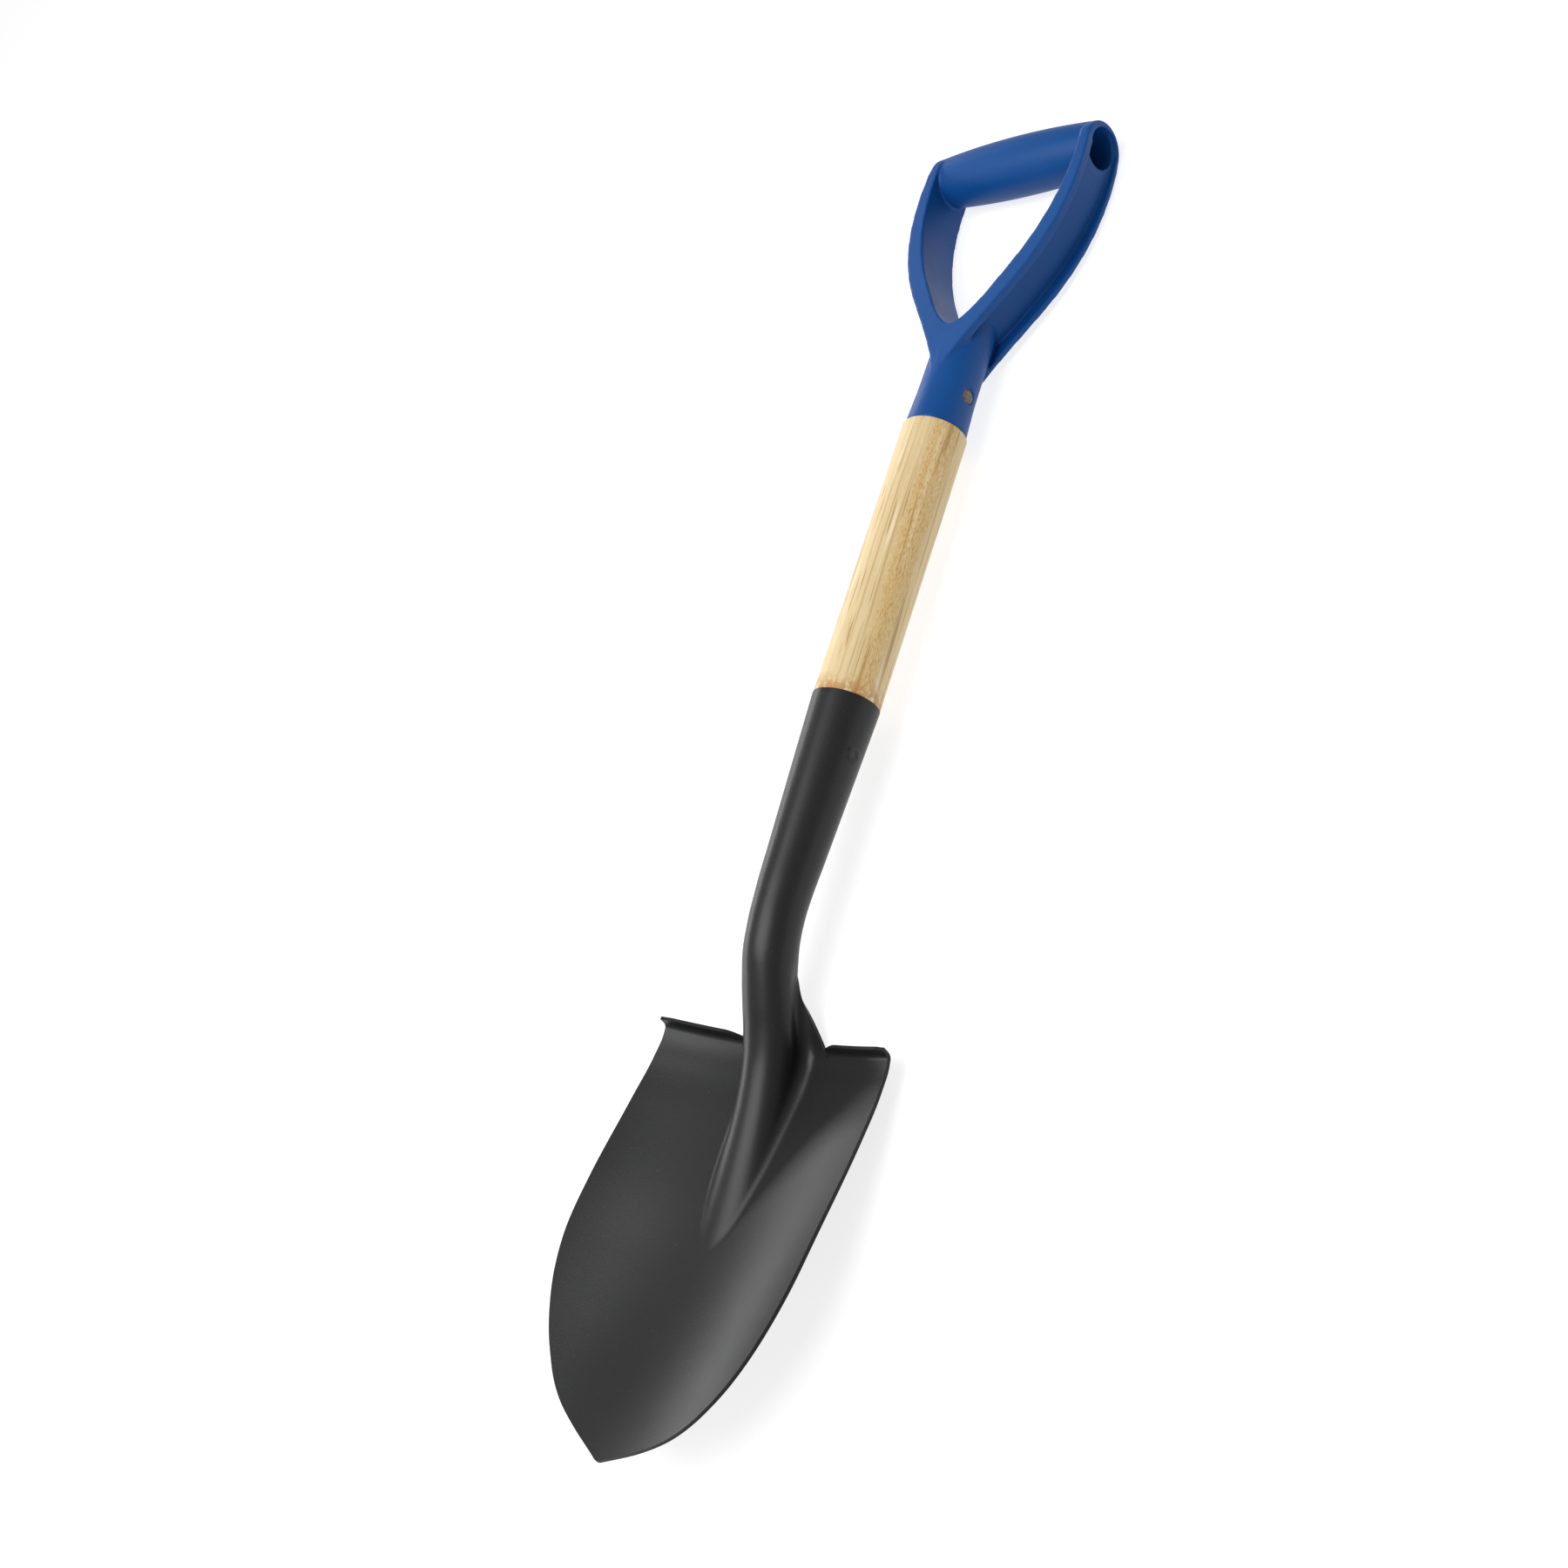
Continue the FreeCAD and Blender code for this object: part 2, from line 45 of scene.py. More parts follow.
# The spade lies on its back. Pieces are drawn along the shaft, in millimetres: x runs from
# the blade's point to the grip with 0 at the grip's rim, z is the working face, y is across.
# The crossbar's hanging point in the record gives the way the spade lies.
BAR_UNDERSIDE, SOCKET_RIM = 170.0, -172.0
hang = next(m for m in frame["record"]["mounts"] if m["name"] == "hanging_bar")
ALONG = -Vector(hang["axis"])
OUT = ALONG.cross(Vector((0, 1, 0)))
START = Vector(hang["pos_m"]) - ALONG * BAR_UNDERSIDE * MM
LIE = Matrix((
    (ALONG.x, 0, OUT.x, START.x),
    (ALONG.y, 1, OUT.y, START.y),
    (ALONG.z, 0, OUT.z, START.z),
    (0, 0, 0, 1))) @ Matrix.Scale(MM, 4)

# The middle of the tree that the shaft was cut from lies this far from the shaft's axis (y
# and z, in metres). Growth rings go round it, and the shaft's far side is nearest the bark.
PITH = (0.0502, -0.0243)
SHAFT_RADIUS = 19.0
BARK_SIDE = SHAFT_RADIUS * MM + sqrt(PITH[0]**2 + PITH[1]**2)


# ---------------------------------------------------------------- mesh helpers

def finish_piece(name, bm, material, node):
    """Turn a bmesh drawn along the shaft into a piece of the lying spade."""
    mesh = bpy.data.meshes.new(name)
    bm.to_mesh(mesh)
    bm.free()
    mesh.transform(LIE)
    for polygon in mesh.polygons:
        polygon.use_smooth = True
    piece = bpy.data.objects.new(name, mesh)
    bpy.context.scene.collection.objects.link(piece)
    mesh.materials.append(material)
    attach(piece, "root")
    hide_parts(node)
    return piece


def add_weighted_normals(piece):
    normals = piece.modifiers.new("normals", "WEIGHTED_NORMAL")
    normals.keep_sharp = True


def lathe(profile, sides, axis="x", centre=(0, 0, 0)):
    """Closed turned solid: profile is (place along the axis, radius) from end to end."""
    bm = bmesh.new()
    rings = []
    for place, radius in profile:
        count = 1 if radius == 0 else sides
        ring = []
        for i in range(count):
            turn = 2 * pi * i / sides
            a, b = radius * cos(turn), radius * sin(turn)
            point = (place, a, b) if axis == "x" else (b, place, a)
            ring.append(bm.verts.new(Vector(point) + Vector(centre)))
        rings.append(ring)
    for one, two in zip(rings, rings[1:]):
        for i in range(sides):
            corners = [one[i % len(one)], one[(i + 1) % len(one)],
                       two[(i + 1) % len(two)], two[i % len(two)]]
            unique = list(dict.fromkeys(corners))
            if len(unique) > 2:
                bm.faces.new(unique)
    bmesh.ops.recalc_face_normals(bm, faces=bm.faces)
    return bm


def through(stations):
    """Smooth function of x through a few (x, value) stations, x falling."""
    xs = [x for x, _ in stations]
    ys = [y for _, y in stations]
    slopes = [(ys[i + 1] - ys[i]) / (xs[i + 1] - xs[i]) for i in range(len(xs) - 1)]
    tangents = [slopes[0]] + [(a + b) / 2 for a, b in zip(slopes, slopes[1:])] + [slopes[-1]]

    def value(x):
        i = next((k for k in range(len(xs) - 2) if x >= xs[k + 1]), len(xs) - 2)
        step = xs[i + 1] - xs[i]
        t = (x - xs[i]) / step
        return ((2 * t**3 - 3 * t**2 + 1) * ys[i] + (t**3 - 2 * t**2 + t) * step * tangents[i]
                + (3 * t**2 - 2 * t**3) * ys[i + 1] + (t**3 - t**2) * step * tangents[i + 1])
    return value


def ease(a, b, x):
    """Smooth step from 0 at a to 1 at b."""
    t = max(0.0, min(1.0, (x - a) / (b - a)))
    return t * t * (3 - 2 * t)


# ---------------------------------------------------------------- materials

class Nodes:
    """Short-hand for building one material's node tree."""

    def __init__(self, name):
        self.material = bpy.data.materials.new(name)
        self.material.use_nodes = True
        self.tree = self.material.node_tree
        self.tree.nodes.clear()
        self.output = self.add("ShaderNodeOutputMaterial")
        self.shader = self.add("ShaderNodeBsdfPrincipled")
        self.link(self.shader.outputs["BSDF"], self.output.inputs["Surface"])
        self.place = self.add("ShaderNodeTexCoord").outputs["Object"]

    def add(self, kind, **settings):
        node = self.tree.nodes.new(kind)
        for key, value in settings.items():
            setattr(node, key, value)
        return node

    def link(self, source, target):
        self.tree.links.new(source, target)

    def mapped(self, scale, turn=(0, 0, 0), shift=(0, 0, 0)):
        node = self.add("ShaderNodeMapping")
        self.link(self.place, node.inputs["Vector"])
        node.inputs["Scale"].default_value = scale
        node.inputs["Rotation"].default_value = turn
        node.inputs["Location"].default_value = shift
        return node.outputs["Vector"]

    def noise(self, vector, scale, detail, roughness=0.5):
        node = self.add("ShaderNodeTexNoise")
        self.link(vector, node.inputs["Vector"])
        node.inputs["Scale"].default_value = scale
        node.inputs["Detail"].default_value = detail
        node.inputs["Roughness"].default_value = roughness
        return node.outputs["Fac"]

    def ramp(self, value, stops):
        node = self.add("ShaderNodeValToRGB")
        self.link(value, node.inputs["Fac"])
        ramp = node.color_ramp
        while len(ramp.elements) < len(stops):
            ramp.elements.new(0.5)
        for element, (place, colour) in zip(ramp.elements, stops):
            element.position = place
            element.color = (*colour, 1)
        return node.outputs["Color"]

    def spread(self, value, low, high, new_low, new_high):
        node = self.add("ShaderNodeMapRange")
        self.link(value, node.inputs["Value"])
        for key, number in (("From Min", low), ("From Max", high), ("To Min", new_low),
                            ("To Max", new_high)):
            node.inputs[key].default_value = number
        return node.outputs["Result"]

    def maths(self, operation, first, second=None):
        node = self.add("ShaderNodeMath", operation=operation)
        for socket, value in zip(node.inputs, (first, second)):
            if isinstance(value, (int, float)):
                socket.default_value = value
            elif value is not None:
                self.link(value, socket)
        return node.outputs["Value"]

    def mix(self, amount, first, second):
        node = self.add("ShaderNodeMix", data_type="RGBA")
        factor, colour_a, colour_b = node.inputs[0], node.inputs[6], node.inputs[7]
        for socket, value in ((factor, amount), (colour_a, first), (colour_b, second)):
            if isinstance(value, (int, float)):
                socket.default_value = value
            elif isinstance(value, tuple):
                socket.default_value = (*value, 1)
            else:
                self.link(value, socket)
        return node.outputs[2]

    def bump(self, height, strength, distance):
        node = self.add("ShaderNodeBump")
        self.link(height, node.inputs["Height"])
        node.inputs["Strength"].default_value = strength
        node.inputs["Distance"].default_value = distance
        self.link(node.outputs["Normal"], self.shader.inputs["Normal"])

    def set(self, **values):
        for key, value in values.items():
            socket = self.shader.inputs[key.replace("_", " ")]
            if isinstance(value, (int, float, tuple)):
                socket.default_value = (*value, 1) if isinstance(value, tuple) else value
            else:
                self.link(value, socket)


def black_paint():
    """Satin black enamel on pressed steel, with orange peel, dust and darker edges."""
    n = Nodes("black_paint")
    cloud = n.noise(n.mapped((1, 1, 1)), 9.0, 4.0)
    peel = n.noise(n.mapped((1, 1, 1)), 900.0, 2.0)
    specks = n.ramp(n.noise(n.mapped((1, 1, 1)), 1300.0, 1.0, 0.6),
                    [(0.0, (0, 0, 0)), (0.74, (0, 0, 0)), (0.80, (1, 1, 1))])
    tone = n.mix(cloud, (0.0125, 0.0127, 0.0134), (0.0165, 0.0167, 0.0175))
    dusty = n.mix(n.maths("MULTIPLY", specks, 0.35), tone, (0.16, 0.16, 0.16))
    edge = n.add("ShaderNodeNewGeometry").outputs["Pointiness"]
    sharp_edge = n.spread(edge, 0.53, 0.60, 0.0, 0.8)
    n.set(Base_Color=n.mix(sharp_edge, dusty, (0.004, 0.004, 0.004)),
          Roughness=n.spread(cloud, 0.3, 0.7, 0.35, 0.42), Specular_IOR_Level=0.27)
    n.bump(peel, 0.12, 0.0004)
    return n.material


def blue_plastic():
    """Satin blue polypropylene with faint mottling and a fine moulded grain."""
    n = Nodes("blue_plastic")
    cloud = n.noise(n.mapped((1, 1, 1)), 30.0, 3.0)
    grain = n.noise(n.mapped((1, 1, 1)), 1500.0, 2.0)
    flow = n.noise(n.mapped((12, 60, 60)), 3.0, 2.0)
    tone = n.mix(cloud, (0.0015, 0.055, 0.225), (0.003, 0.070, 0.268))
    n.set(Base_Color=n.mix(n.maths("MULTIPLY", flow, 0.25), tone, (0.003, 0.044, 0.19)),
          Roughness=n.spread(cloud, 0.3, 0.7, 0.44, 0.52), Specular_IOR_Level=0.22)
    n.bump(grain, 0.10, 0.0003)
    return n.material


def ash_wood():
    """Varnished ash: pale ground, rings, brown streaks, and one band of short flecks.

    Lengths are in metres here, and noise stretched along the first axis runs with the grain.
    """
    n = Nodes("ash_wood")
    rings_per_metre, warp_reach, band_depth, stain_reach = 330, 0.004, 0.0017, 0.011
    split = n.add("ShaderNodeSeparateXYZ")
    from_pith = (0, -PITH[0], -PITH[1] - START.dot(OUT))
    n.link(n.mapped((1, 1, 1), (0, asin(ALONG.z), 0), from_pith), split.inputs["Vector"])
    warp = n.noise(n.mapped((4.0, 26, 26)), 1.0, 2.0)
    pith_distance = n.maths("SQRT", n.maths("ADD", n.maths("POWER", split.outputs["Y"], 2.0),
                                            n.maths("POWER", split.outputs["Z"], 2.0)))
    warping = n.maths("MULTIPLY", n.maths("SUBTRACT", warp, 0.5), warp_reach)
    depth = n.maths("ADD", pith_distance, warping)
    ring = n.maths("FRACT", n.maths("MULTIPLY", depth, rings_per_metre))
    line = n.ramp(ring, [(0.0, (1, 1, 1)), (0.10, (0.25, 0.25, 0.25)), (0.22, (0, 0, 0)),
                         (0.86, (0, 0, 0)), (1.0, (1, 1, 1))])
    patchy = n.noise(n.mapped((9, 120, 120)), 1.0, 2.0)
    fibre = n.noise(n.mapped((9, 620, 620)), 1.0, 4.0, 0.6)
    streak = n.noise(n.mapped((9, 460, 460), (0, 0, 0), (3.1, 0.7, 0.2)), 1.0, 2.0, 0.5)
    fleck = n.noise(n.mapped((330, 2300, 2300)), 1.0, 2.0, 0.6)
    pale = n.noise(n.mapped((7, 240, 240), (0, 0, 0), (1.7, 0.3, 0.9)), 1.0, 2.0, 0.5)

    ground = n.mix(fibre, (0.56, 0.42, 0.21), (0.75, 0.605, 0.36))
    ground = n.mix(n.spread(pale, 0.60, 0.72, 0.0, 0.6), ground, (0.90, 0.79, 0.58))
    ringed = n.mix(n.maths("MULTIPLY", line, n.spread(patchy, 0.42, 0.66, 0.10, 0.75)),
                   ground, (0.43, 0.25, 0.085))
    band = n.spread(depth, BARK_SIDE - band_depth, BARK_SIDE - band_depth + 0.0011, 0.0, 1.0)
    banded = n.mix(n.maths("MULTIPLY", band, 0.38), ringed, (0.63, 0.40, 0.13))
    dashes = n.spread(fleck, 0.50, 0.60, 0.0, 1.0)
    flecked = n.mix(n.maths("MULTIPLY", dashes, n.spread(band, 0.0, 1.0, 0.08, 0.72)),
                    banded, (0.47, 0.23, 0.045))
    streaked = n.mix(n.spread(streak, 0.585, 0.65, 0.0, 0.75), flecked, (0.38, 0.215, 0.07))
    rim = START.dot(ALONG) + SOCKET_RIM * MM
    near_rim = n.spread(split.outputs["X"], rim, rim + stain_reach, 1.0, 0.0)
    blot = n.spread(n.noise(n.mapped((210, 210, 210)), 1.0, 3.0), 0.40, 0.52, 0.0, 0.95)
    stained = n.mix(n.maths("MULTIPLY", near_rim, blot), streaked, (0.42, 0.20, 0.055))
    n.set(Base_Color=stained, Roughness=n.spread(fibre, 0.3, 0.7, 0.42, 0.54),
          Specular_IOR_Level=0.32)
    n.bump(n.maths("SUBTRACT", fibre, n.maths("MULTIPLY", dashes, 0.5)), 0.22, 0.0002)
    return n.material


def rivet_steel():
    """Dull, slightly rusty steel."""
    n = Nodes("rivet_steel")
    rust = n.noise(n.mapped((1, 1, 1)), 700.0, 4.0, 0.7)
    n.set(Base_Color=n.mix(n.spread(rust, 0.42, 0.62, 0.0, 1.0), (0.17, 0.15, 0.13),
                           (0.10, 0.06, 0.035)),
          Metallic=0.75, Roughness=n.spread(rust, 0.3, 0.7, 0.38, 0.62))
    n.bump(rust, 0.3, 0.0002)
    return n.material


def floor_paper():
    """Plain white paper that stays white where the lights fall off."""
    n = Nodes("floor_paper")
    n.set(Base_Color=(0.30, 0.30, 0.30), Roughness=0.9, Specular_IOR_Level=0.1,
          Emission_Color=(1.0, 1.0, 1.0), Emission_Strength=0.80)
    return n.material


# ---------------------------------------------------------------- steel head

SHEET = 1.9
CLEARANCE = 0.1            # the blade's sides stand this far inside the CAD solid's
CONE_END, OPEN_FROM, OPEN_TO = -290.0, -306.0, -339.0
BLADE_TOP, BLADE_TIP = -359.0, -580.3
RIM_RADIUS, NECK_RADIUS = 19.25, 14.8
SEAM_GAP = 2.4
POINT_RADIUS = 5.0
TREAD_INNER, TREAD_OUTER, TREAD_RISE = 30.0, 81.0, 6.8
TREAD_BEND, TREAD_LEAN = 2.8, radians(76)

# Side view of the pressed sheet: the dish's lowest line and the top of the ridge. Then the
# radii across the blade of the dish, of the ridge's rounded top and of the fillets beside it.
dish_line = through([(-325, -18), (-345, -31), (-358, -39), (-375, -39.6), (-400, -36.6),
                     (-440, -31), (-480, -25.5), (-520, -17.4), (-560, -6.2), (-596, 6)])
ridge_line = through([(-325, 7.6), (-345, -3), (-357, -9.7), (-370, -15.5), (-385, -19.6),
                      (-400, -22.3), (-425, -24.7), (-455, -26.4), (-471, -26.9), (-596, 0)])
dish_radius = through([(-325, 240), (-360, 240), (-470, 164), (-596, 160)])
ridge_radius = through([(-325, 14.9), (-357, 14.9), (-385, 15.4), (-410, 17.4), (-440, 22),
                        (-470, 27), (-596, 27)])
fillet_radius = through([(-325, 7), (-357, 7), (-400, 6.5), (-440, 7), (-470, 9), (-596, 9)])

# Centre line of the swan neck, and half widths of the blade and of the shoulders above it.
neck_centre = through([(-172, 0), (-262, 0), (-284, 0), (-303, -1.7), (-320, -6.2), (-335, -12.6),
                       (-345, -17.4), (-353, -21.7), (-365, -28)])
half_width = through([(-359, 81), (-400, 82.8), (-450, 83), (-482, 81), (-512, 73),
                      (-538, 59.5), (-560, 40.2), (-571, 22.7), (-580.5, 2.2)])
shoulder = through([(-300, 14.5), (-326, 14.9), (-335, 16.8), (-343, 20.4), (-351, 25), (-359, 30)])


def blade_half_width(x):
    """Half width of the front of the blade, which ends in a blunt point."""
    from_point = x - BLADE_TIP
    if from_point < POINT_RADIUS / 10:
        return sqrt(max(0.01, 2 * POINT_RADIUS * from_point - from_point**2))
    slimming = 0.7 * ease(-545, -575, x)
    return half_width(x - slimming) * (1 - SHEET / dish_radius(x)) - CLEARANCE


class Section:
    """Section of the pressed sheet at one x: ridge arc, fillet, then the dish."""

    def __init__(self, x):
        self.dish = dish_radius(x)
        self.dish_centre = dish_line(x) + self.dish
        self.arc, self.fillet = ridge_radius(x), fillet_radius(x)
        self.centre = ridge_line(x) - self.arc
        self.out = self.rise = self.turn = self.landing = 0
        ridge_height = ridge_line(x) - dish_line(x)
        if ridge_height > 0.02:
            apart = self.dish_centre - self.centre
            reach = self.arc + self.fillet
            rise = (apart**2 + reach**2 - (self.dish - self.fillet)**2) / (2 * apart)
            self.rise = max(-reach, min(reach, rise))
            self.out = sqrt(reach**2 - self.rise**2)
            self.turn = atan2(self.out, self.rise)
            self.landing = asin(self.out / (self.dish - self.fillet))

    def run_to(self, y):
        """Run from the middle to a half width y out on the dish."""
        dish_run = self.dish * (asin(y / self.dish) - self.landing)
        return self.turn * self.arc + (self.turn + self.landing) * self.fillet + dish_run

    def run_past_ridge(self, y):
        """Run from the middle to a half width y that may still lie on the fillet."""
        low, high = self.turn * self.arc, self.run_to(self.out) + 30
        for _ in range(30):
            middle = (low + high) / 2
            if self.point(middle)[0] < y:
                low = middle
            else:
                high = middle
        return low

    def point(self, run):
        """(half width, height) at a run from the middle."""
        if run < self.turn * self.arc:
            angle = run / self.arc
            return self.arc * sin(angle), self.centre + self.arc * cos(angle)
        run -= self.turn * self.arc
        if run < (self.turn + self.landing) * self.fillet:
            angle = self.turn - run / self.fillet
            return (self.out - self.fillet * sin(angle),
                    self.centre + self.rise - self.fillet * cos(angle))
        run -= (self.turn + self.landing) * self.fillet
        angle = self.landing + run / self.dish
        return self.dish * sin(angle), self.dish_centre - self.dish * cos(angle)


def tube_radius(x):
    along_cone = min(1, (SOCKET_RIM - x) / (SOCKET_RIM - CONE_END))
    return RIM_RADIUS + (NECK_RADIUS - RIM_RADIUS) * along_cone


def tube_point(x, part):
    """(half width, height) on the rolled tube; part runs from its front to its seam."""
    radius = tube_radius(x)
    angle = part * (pi - SEAM_GAP / 2 / radius)
    return radius * sin(angle), neck_centre(x) + radius * cos(angle)


INNER, OUTER = 36, 20      # columns from the middle to the tread, and on to the side


def column_points(x):
    """Half of one row of the sheet, from the middle outwards."""
    opened = 1 - ease(OPEN_TO, OPEN_FROM, x)
    section = Section(x)
    if x > BLADE_TOP:
        closed_run = pi * tube_radius(x) - SEAM_GAP / 2
        run = closed_run
        if opened > 0:
            run += (section.run_past_ridge(shoulder(x)) - closed_run) * opened
        row = []
        for i in range(INNER + 1):
            part = i / INNER
            rolled = Vector(tube_point(x, part))
            row.append(rolled.lerp(Vector(section.point(part * run)), opened)
                       if opened > 0 else rolled)
        return row
    width = blade_half_width(x)
    inner_run = section.run_to(width * TREAD_INNER / TREAD_OUTER)
    outer_run = section.run_to(width)
    row = [Vector(section.point(inner_run * i / INNER)) for i in range(INNER + 1)]
    step = (outer_run - inner_run) / OUTER
    row += [Vector(section.point(inner_run + step * (i + 1))) for i in range(OUTER)]
    return row


def head_rows():
    """Places of the sheet's rows of points, which crowd towards the blade's point."""
    rows = [SOCKET_RIM - 4 * i for i in range(38)]                   # socket
    rows += [-323 - 2.25 * i for i in range(16)]                     # neck opening out
    rows += [BLADE_TOP - 2.75 * i for i in range(41)]                # blade beside the ridge
    last, count, crowding = rows[-1], 46, 1.7
    rows += [BLADE_TIP + (last - BLADE_TIP) * (1 - i / count)**crowding
             for i in range(1, count)]                               # smooth end of the blade
    return rows + [BLADE_TIP + 0.03]


def tread_offset(part):
    """(forward, up) of the tread's section: a round bend, then a straight lip."""
    bend_rise = TREAD_BEND * (1 - cos(TREAD_LEAN))
    bend = TREAD_LEAN * TREAD_BEND
    run = part * (bend + (TREAD_RISE - bend_rise) / sin(TREAD_LEAN))
    angle = min(run, bend) / TREAD_BEND
    straight = max(0, run - bend)
    return (TREAD_BEND * sin(angle) + straight * cos(TREAD_LEAN),
            TREAD_BEND * (1 - cos(angle)) + straight * sin(TREAD_LEAN))


def build_head(material):
    """One stamped sheet: socket, swan neck, shoulders, dished blade and foot treads."""
    bm = bmesh.new()
    grid = []
    for x in head_rows():
        half = column_points(x)
        count = len(half) - 1
        row = {0: bm.verts.new((x, 0, half[0].y))}
        for i in range(1, count + 1):
            for side in (1, -1):
                row[side * i] = bm.verts.new((x, side * half[i].x, half[i].y))
        grid.append((x, row))
    for (_, one), (_, two) in zip(grid, grid[1:]):
        for i in range(-INNER - OUTER, INNER + OUTER):
            if i in one and i + 1 in one and i in two and i + 1 in two:
                bm.faces.new((one[i], one[i + 1], two[i + 1], two[i]))

    # The treads: columns of points rising from the blade's top edge, run out at both ends.
    top_row = next(row for x, row in grid if x == BLADE_TOP)
    steps = 8
    for side in (1, -1):
        previous = None
        for i in range(INNER, INNER + OUTER + 1):
            foot = top_row[side * i]
            across = abs(foot.co.y)
            height = min(ease(TREAD_INNER - 12, TREAD_INNER + 10, across),
                         1 - 0.12 * ease(TREAD_OUTER - 9, TREAD_OUTER, across))
            column = [foot]
            for k in range(1, steps + 1):
                forward, up = tread_offset(height * k / steps)
                column.append(bm.verts.new(foot.co + Vector((forward, 0, up))))
            if previous:
                for k in range(steps):
                    face = (previous[k], column[k], column[k + 1], previous[k + 1])
                    bm.faces.new(face if side > 0 else face[::-1])
            previous = column

    bmesh.ops.recalc_face_normals(bm, faces=bm.faces)
    blade_middle = Vector((-520, 0, -17))
    middle = min(bm.faces, key=lambda f: (f.calc_center_median() - blade_middle).length)
    if middle.normal.z < 0:
        bmesh.ops.reverse_faces(bm, faces=bm.faces)
    head = finish_piece("blade_head_sheet", bm, material, "blade_head")
    shell = head.modifiers.new("sheet", "SOLIDIFY")
    shell.thickness = SHEET * MM
    shell.offset = -1
    shell.use_even_offset = True
    rolled = head.modifiers.new("edges", "BEVEL")
    rolled.width = 0.55 * MM
    rolled.segments = 3
    rolled.limit_method = "ANGLE"
    rolled.angle_limit = radians(50)
    add_weighted_normals(head)


# ---------------------------------------------------------------- shaft and rivets

def build_shaft(material):
    """Turned bar: tenon in the grip, rounded shoulder, and a taper that fills the socket."""
    tenon_length, tenon_radius, tenon_chamfer, shaft_end = 50, 14, 2, -282
    chamfer, end_chamfer, fit_gap, stretches = 0.8, 0.2, 0.05, 40
    shoulder_radius = SHAFT_RADIUS - chamfer
    stretch = (-SOCKET_RIM - chamfer - end_chamfer) / stretches
    taper = (RIM_RADIUS - NECK_RADIUS) / (SOCKET_RIM - CONE_END)
    inside = RIM_RADIUS - SHEET - fit_gap
    profile = [(tenon_length, 0), (tenon_length, tenon_radius - tenon_chamfer),
               (tenon_length - tenon_chamfer, tenon_radius), (0, tenon_radius),
               (0, shoulder_radius)]
    profile += [(-chamfer * (1 - cos(turn)), shoulder_radius + chamfer * sin(turn))
                for turn in (pi / 8, pi / 4, 3 * pi / 8)]
    profile += [(-chamfer - stretch * i, SHAFT_RADIUS) for i in range(stretches + 1)]
    profile += [(SOCKET_RIM, shoulder_radius), (SOCKET_RIM, inside),
                (shaft_end, inside - (SOCKET_RIM - shaft_end) * taper), (shaft_end, 0)]
    shaft = finish_piece("shaft_wood", lathe(profile, 128), material, "shaft")
    add_weighted_normals(shaft)


def build_rivet(node, material, at, seat, radius):
    """Pin across the shaft with a low domed, slightly dished head at each end."""
    pin_radius, height, rim = 2.5, 1.0, 0.25
    head = [(seat, pin_radius), (seat, radius), (seat + rim, radius)]
    head += [(seat + rim + (height - rim) * sin(turn), radius * (0.45 + 0.55 * cos(turn)))
             for turn in (pi / 8, pi / 4, 3 * pi / 8, pi / 2)]
    head += [(seat + height - 0.12, radius * 0.32), (seat + height - 0.22, radius * 0.16),
             (seat + height - 0.25, 0)]
    profile = [(-place, r) for place, r in reversed(head)] + head
    turned = lathe(profile, 48, "y", (at, 0, 0))
    add_weighted_normals(finish_piece(node + "_turned", turned, material, node))


# ---------------------------------------------------------------- grip

def build_grip(material):
    """The moulded grip: the exact solid, with its edges and corners softened all over."""
    node = frame["nodes"]["d_grip"]
    mesh = node.data.copy()
    mesh.materials.clear()
    mesh.materials.append(material)
    grip = bpy.data.objects.new("d_grip_moulding", mesh)
    bpy.context.scene.collection.objects.link(grip)
    weld = grip.modifiers.new("weld", "WELD")
    weld.merge_threshold = 0.01 * MM
    skin = grip.modifiers.new("skin", "REMESH")
    skin.mode = "VOXEL"
    skin.voxel_size = 0.55 * MM
    skin.use_smooth_shade = True
    soft = grip.modifiers.new("soft", "SMOOTH")
    soft.factor = 0.5
    soft.iterations = 10
    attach(grip, "root")
    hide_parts("d_grip")


# ---------------------------------------------------------------- studio

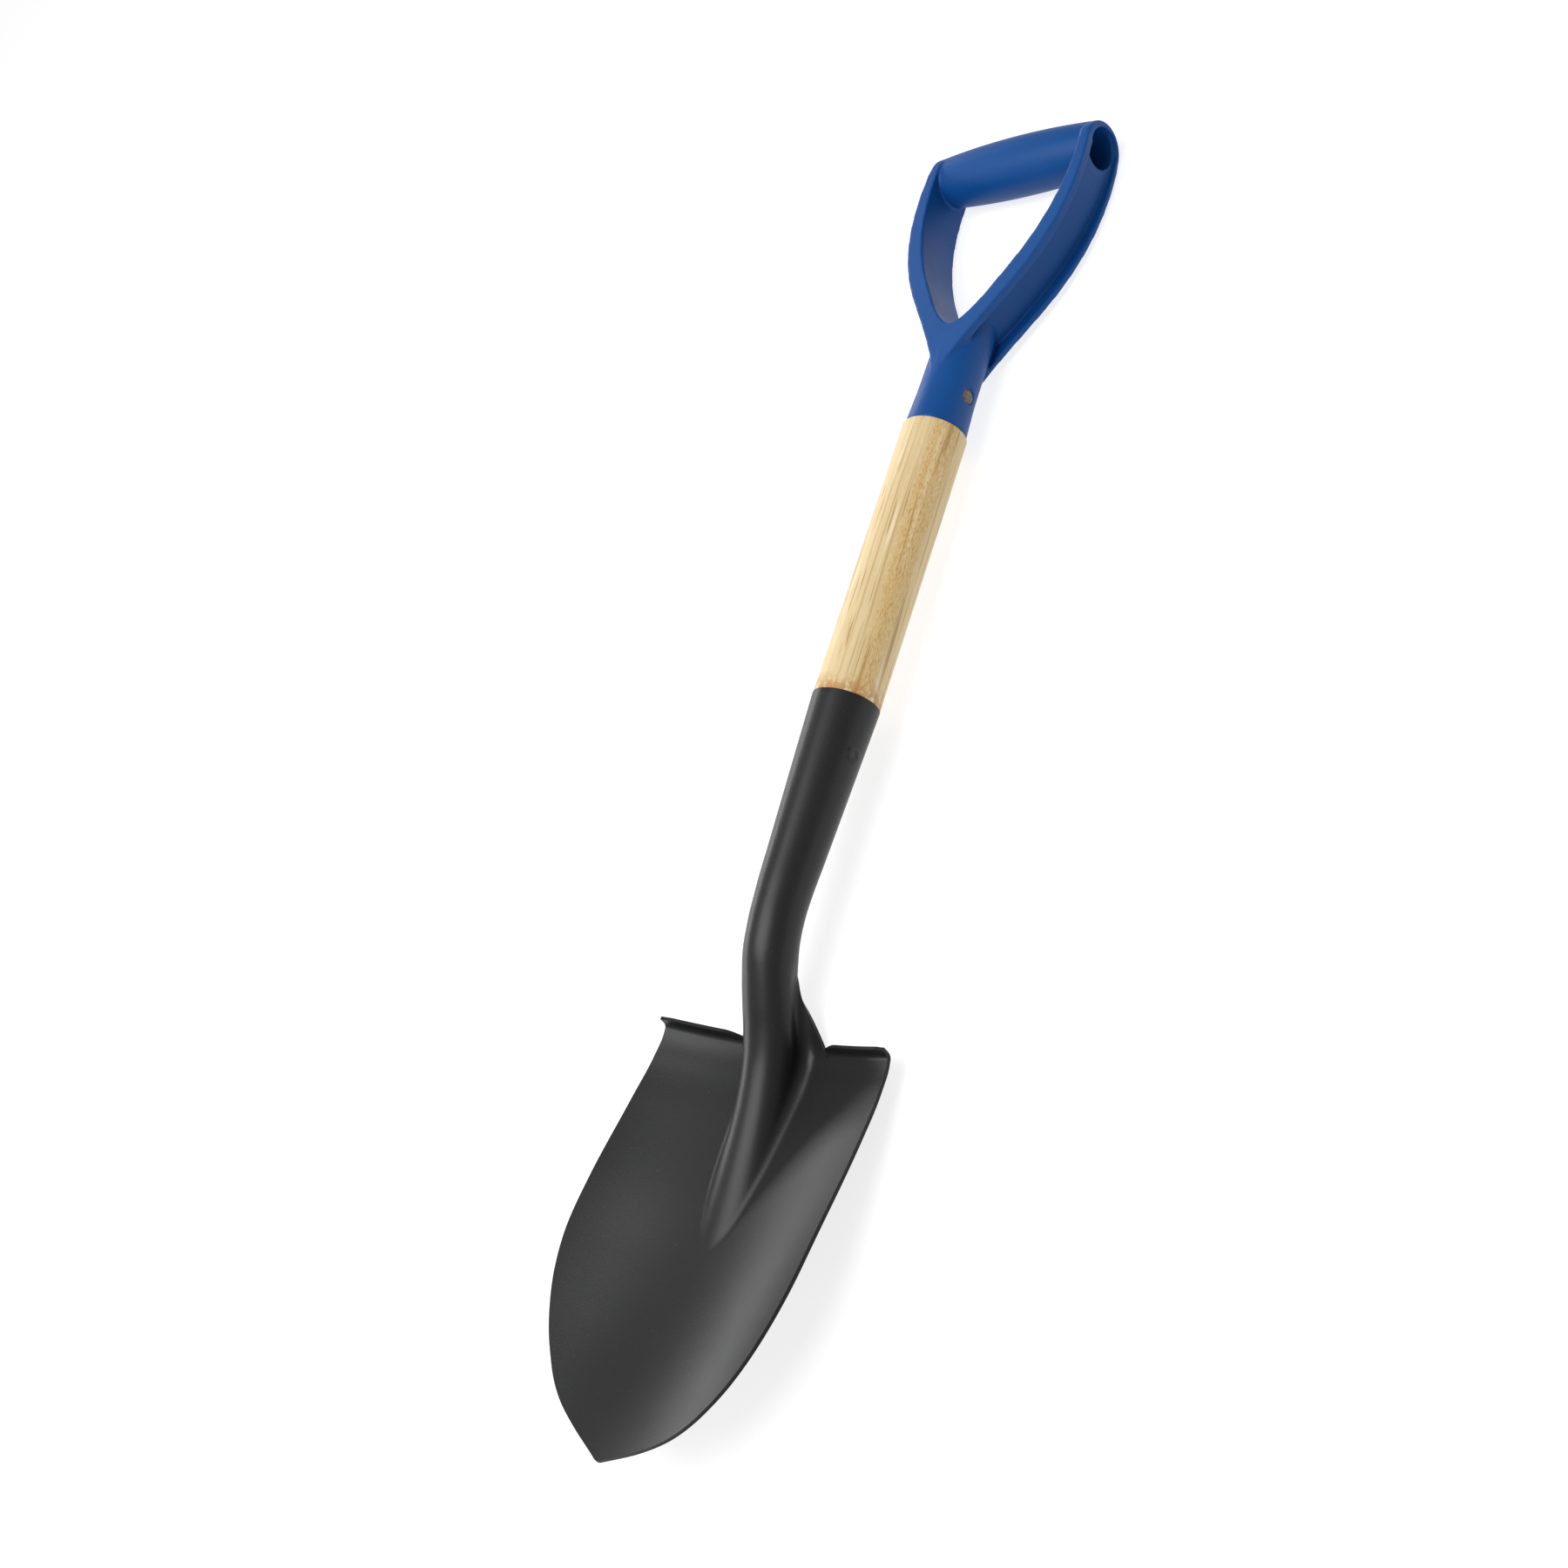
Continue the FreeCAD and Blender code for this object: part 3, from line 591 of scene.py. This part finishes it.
def build_floor():
    """Paper far larger than the view."""
    bm = bmesh.new()
    bmesh.ops.create_grid(bm, x_segments=1, y_segments=1, size=6)
    mesh = bpy.data.meshes.new("floor")
    bm.to_mesh(mesh)
    bm.free()
    floor = bpy.data.objects.new("floor", mesh)
    mesh.materials.append(floor_paper())
    bpy.context.scene.collection.objects.link(floor)


def build_camera():
    """Looking down at the working face from the spade's right, rolled so the grip is up."""
    data = bpy.data.cameras.new("camera")
    data.sensor_width = 36
    data.lens = 45.4
    data.clip_start = 0.01
    camera = bpy.data.objects.new("camera", data)
    camera.location = (-0.3265, -0.7132, 0.7607)
    camera.rotation_euler = (radians(29.94), radians(38.93), radians(-69.14))
    bpy.context.scene.collection.objects.link(camera)
    bpy.context.scene.camera = camera


def add_light(name, place, target, size, power):
    """Rectangular area light at place, facing the target."""
    data = bpy.data.lights.new(name, "AREA")
    data.shape = "RECTANGLE"
    data.size, data.size_y = size
    data.energy = power
    light = bpy.data.objects.new(name, data)
    light.location = place
    aim = Vector(target) - Vector(place)
    light.rotation_euler = aim.to_track_quat("-Z", "Y").to_euler()
    bpy.context.scene.collection.objects.link(light)


def build_studio():
    build_floor()
    build_camera()
    middle = (0, 0, 0.03)
    add_light("overhead", (-0.3, 0.15, 2.2), middle, (1.8, 1.5), 52)
    add_light("rim", (0.3, 1.5, 0.34), middle, (2.6, 0.3), 16)
    world = bpy.data.worlds.new("studio")
    world.use_nodes = True
    background = world.node_tree.nodes["Background"]
    background.inputs["Color"].default_value = (1, 1, 1, 1)
    background.inputs["Strength"].default_value = 0.34
    bpy.context.scene.world = world
    bpy.context.scene.view_settings.view_transform = "Standard"
    bpy.context.scene.view_settings.look = "None"


paint, plastic, wood, steel = black_paint(), blue_plastic(), ash_wood(), rivet_steel()
build_head(paint)
build_shaft(wood)
build_grip(plastic)
build_rivet("grip_rivet", steel, at=22.6, seat=15.3, radius=4.6)
build_rivet("socket_rivet", paint, at=-203.0, seat=17.3, radius=5.2)
build_studio()
